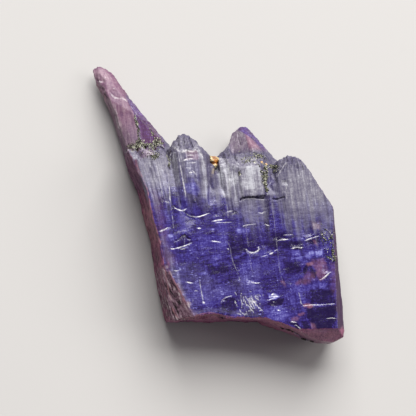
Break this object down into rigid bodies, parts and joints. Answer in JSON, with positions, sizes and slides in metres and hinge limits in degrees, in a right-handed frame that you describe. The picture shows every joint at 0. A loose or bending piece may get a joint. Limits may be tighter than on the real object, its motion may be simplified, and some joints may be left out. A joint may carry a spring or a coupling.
{
  "type": "tanzanite crystal",
  "caption": "Loose uncut blue-violet tanzanite cluster of side-by-side columns with a tall fang, a fluted dome and a back peak, lying on its flat back.",
  "frame": {"origin": "middle of the bounding box, on the flat back that the crystal rests on", "axes": "+Y along the growth axis towards the terminations, +Z out of the broad front face, +X to the right of that face"},
  "size_m": [0.0188, 0.027, 0.0064],
  "materials": {
    "tanzanite": "natural crystal faces, frosted and striated above, clearer below, blue-violet with mauve edges",
    "crust": "dull granular crust, grey-green with dark specks",
    "rusty_grain": "dull orange-brown grain"
  },
  "bodies": {
    "root": {"tanzanite_crystal": "tanzanite", "fang_foot_crust": "crust", "hollow_crust": "crust", "right_edge_crust": "crust", "base_crust": "crust", "rust_stained_grain": "rusty_grain"}
  },
  "joints": []
}
